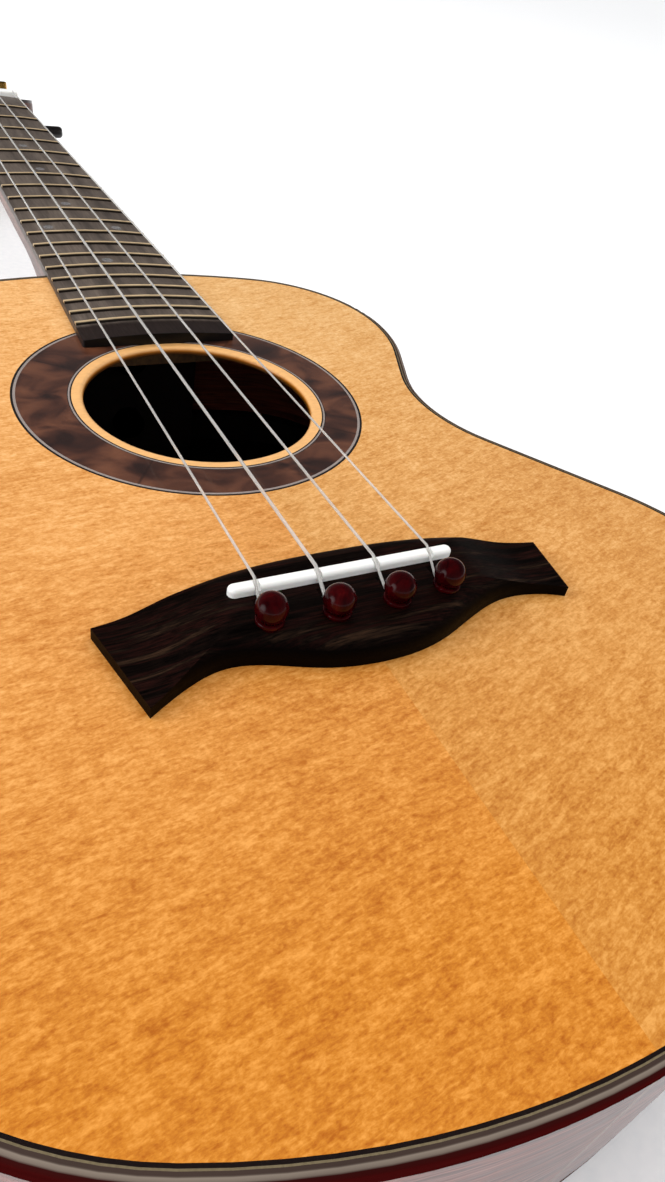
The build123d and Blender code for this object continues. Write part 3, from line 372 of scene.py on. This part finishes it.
def fret_metal():
    """Dull gold wire, its sheen painted in as a bright tan colour, with painted shade making the flank
    towards the tail dark.
    """
    look = Look("fret_metal", metallic=0.35, specular_ior_level=0.4)
    marks = look.noise((6, 0.3, 0.3), detail=2.0)
    colour = look.ramp(marks, [(0.3, tone(212, 184, 142)), (0.7, tone(236, 208, 166))])
    # painted shade: the flank that looks towards the tail is dark
    off_shaded_flank = look.remap(look.facing("Y"), -0.75, -0.35)
    colour = look.mix(off_shaded_flank, tone(34, 26, 20), colour)
    return look.close(colour, look.spread(marks, 0.38, 0.48), marks, 0.004)


def pearl():
    look = Look("pearl", coat_weight=0.5, coat_roughness=0.1)
    layers = look.noise((2.2, 1.1, 2), detail=4.0, distortion=2.0)
    colour = look.ramp(layers, [
        (0.3, tone(88, 88, 92)), (0.45, tone(112, 112, 108)),
        (0.6, tone(120, 110, 114)), (0.75, tone(98, 106, 104)),
    ])
    return look.close(colour, look.spread(layers, 0.2, 0.35), layers, 0.01)


def carbon():
    look = Look("carbon")
    weave = look.waves(2.0)
    colour = look.ramp(weave, [(0.0, tone(22, 22, 24)), (1.0, tone(48, 48, 52))])
    return look.close(colour, look.remap(weave, 0, 1, 0.35, 0.5), weave, 0.02)


# ------------------------------------------------------------------ dressing the nodes
def give(material, *names):
    for name in names:
        for slot in NODES[name].material_slots:
            slot.material = material


def each(stem):
    return [f"{stem}_{number}" for number in STRINGS]


def dress():
    """Every CAD node gets its material."""
    white, cooler = (1.0, 1.0, 1.0, 1.0), (0.94, 0.99, 1.02, 1.0)
    give(spruce("spruce_bass", shift=0.0, tilt=0.12, pale=0.0, tint=white), "soundboard_bass")
    give(spruce("spruce_treble", shift=0.8, tilt=0.3, pale=0.12, tint=cooler), "soundboard_treble")
    give(burl(), "rosette_burl")
    give(lip_wood(), "soundhole_ring")
    give(veneer("black_line", tone(24, 18, 18)), "rosette_black_lines")
    give(veneer("rim_black_line", tone(26, 9, 7)), "top_black_line")
    give(veneer("silver_line", tone(150, 138, 132)), "rosette_white_lines")
    give(veneer("grey_line", tone(112, 98, 70)), "top_light_line")
    give(veneer("olive_line", tone(110, 70, 20)), "tail_seam_strip")
    give(rosewood("rosewood_sides", (60, 60, 5), (12, 12, 0.5)), "side_bass", "side_treble")
    give(rosewood("rosewood_back", (6, 90, 40), (0.5, 14, 5)), "back_plate")
    give(binding_wood(), "top_binding", "back_binding")
    mahogany = [(0.3, tone(66, 32, 20)), (0.5, tone(92, 48, 30)), (0.7, tone(112, 62, 38))]
    give(figured_wood("neck_wood", (7, 110, 7), mahogany, gloss=0.42, pores=(0.5, 9, 0.5), depth=0.02,
                      coat_weight=0.3, coat_roughness=0.2), "neck")
    # painted shade: the inner woods are given much darker than bare wood, so the box reads dark inside
    give(bare_wood("inner_mahogany_shaded", tone(34, 20, 13), tone(20, 11, 8), (2, 40, 2)),
         "neck_block", "tail_block", "top_linings", "back_linings", "back_braces", "back_centre_strip")
    give(bare_wood("inner_spruce_shaded", tone(112, 80, 46), tone(84, 56, 30), (1.2, 60, 2)),
         "soundboard_braces", "bridge_plate")
    dark_wood = [(0.3, tone(26, 14, 12)), (0.5, tone(40, 21, 17)), (0.7, tone(62, 34, 26))]
    give(figured_wood("headplate_wood", (5, 80, 20), dark_wood, gloss=0.34, pores=(0.5, 10, 4), depth=0.01,
                      coat_weight=0.9, coat_roughness=0.05), "headplate")
    ebony = [(0.3, tone(26, 20, 18)), (0.7, tone(46, 36, 32))]
    give(figured_wood("ebony", (5, 60, 5), ebony, gloss=0.46, pores=(0.35, 7, 0.35), depth=0.02), "heel_cap")
    give(board_wood(), "fingerboard")
    give(bridge_wood(), "bridge")
    dark_red = [(0.35, tone(24, 0, 2)), (0.6, tone(48, 2, 4)), (0.75, tone(66, 6, 7))]
    give(figured_wood("pin_wood", (3, 3, 9), dark_red, gloss=0.12, pores=(1.5, 1.5, 6), depth=0.001,
                      contrast=0.15, specular_ior_level=0.15), *each("bridge_pin"))
    black = [(0.35, tone(14, 12, 12)), (0.65, tone(30, 25, 23))]
    give(figured_wood("button_ebony", (8, 2, 2), black, gloss=0.28, pores=(5, 0.4, 0.4), depth=0.008),
         *each("tuner_button"))
    give(bone(), "nut", "saddle")
    give(nylon(), *each("string"))
    give(metal("gold", tone(196, 142, 66), tone(232, 184, 96), brushed=(0.3, 5, 0.3), gloss=0.22),
         "tuner_plates", "tuner_screws", "post_bushings", *each("tuner_post"), *each("tuner_wheel"),
         *each("tuner_worm"))
    give(fret_metal(), "frets")
    # painted shade: the bolts inside the box are near-black, like the inner woods
    give(metal("black_steel", tone(12, 12, 13), tone(24, 24, 26), brushed=(0.3, 4, 0.3), gloss=0.45),
         "neck_bolts")
    give(pearl(), "position_markers")
    give(carbon(), "neck_rod")


# ------------------------------------------------------------------ table, light and camera
def make_table():
    size = 12.0
    bpy.ops.mesh.primitive_plane_add(size=size, location=(0, 0, cad_low.z))
    table = bpy.context.object
    table.name = "table"
    look = Look("table_cloth")
    weave = look.noise((3, 3, 3), detail=2.0)
    colour = look.ramp(weave, [(0.3, tone(246, 247, 249)), (0.7, tone(252, 252, 253))])
    table.data.materials.append(look.close(colour, look.spread(weave, 0.8, 0.95), weave, 0.05))


def make_sky():
    """A white room: even light on everything dull, but gloss mirrors a dark room with one bright window."""
    white_level = 1.05
    horizon_level, zenith_level = 0.24, 0.05
    toward_window, window_level = (-0.98, 0.0, 0.17), 3.5
    world = bpy.data.worlds.new("room")
    world.use_nodes = True
    world.cycles.sampling_method = "NONE"
    bpy.context.scene.world = world
    room = Graph(world.node_tree)
    direction = room.add("ShaderNodeTexCoord").outputs["Generated"]
    height = room.compute("POWER", room.compute("ABSOLUTE", room.part(direction, "Z")), 0.5)
    walls = room.remap(height, 0.1, 0.85, horizon_level, zenith_level)
    inputs = {0: direction, 1: toward_window}
    nearness = room.add("ShaderNodeVectorMath", inputs, operation="DOT_PRODUCT").outputs["Value"]
    mirrored = room.compute("ADD", walls, room.remap(nearness, 0.90, 0.97, 0.0, window_level))
    glossy = room.add("ShaderNodeLightPath").outputs["Is Glossy Ray"]
    inputs = {0: glossy, 2: white_level, 3: mirrored}
    level = room.add("ShaderNodeMix", inputs, data_type="FLOAT").outputs[0]
    background = room.nodes["Background"]
    background.inputs["Color"].default_value = (1.0, 1.0, 1.0, 1.0)
    room.feed(level, background.inputs["Strength"])


def soft_light(name, place, size, power, colour):
    """A square soft light aimed at the saddle. It lights surfaces without showing in their gloss."""
    data = bpy.data.lights.new(name, "AREA")
    data.shape = "SQUARE"
    data.size = size
    data.energy = power
    data.color = colour
    light = bpy.data.objects.new(name, data)
    bpy.context.scene.collection.objects.link(light)
    light.location = place
    light.rotation_euler = (SADDLE_MIDDLE - Vector(place)).to_track_quat("-Z", "Y").to_euler()
    light.visible_glossy = False


def make_lights():
    soft_light("overhead", place=(0.3, 0.5, 1.9), size=2.2, power=8.0, colour=(1.0, 0.98, 0.95))
    soft_light("from_left", place=(-1.2, 0.3, 0.7), size=0.8, power=9.0, colour=(1.0, 1.0, 1.0))


def make_camera():
    """Low over the tail end, looking up the neck from the bass side."""
    azimuth, down, roll = math.radians(34.63), math.radians(39.5), math.radians(12.4)
    offset = Vector((-85.7, -120.9, 117.2)) * MM
    data = bpy.data.cameras.new("camera")
    data.lens = 26.0
    data.clip_start = 0.01
    camera = bpy.data.objects.new("camera", data)
    turn = Matrix.Rotation(-azimuth, 4, "Z") @ Matrix.Rotation(math.pi / 2 - down, 4, "X")
    turn = turn @ Matrix.Rotation(roll, 4, "Z")
    camera.matrix_world = Matrix.Translation(SADDLE_MIDDLE + offset) @ turn
    bpy.context.scene.collection.objects.link(camera)
    bpy.context.scene.camera = camera


dress()
make_table()
make_sky()
make_lights()
make_camera()
bpy.context.scene.view_settings.view_transform = "Standard"
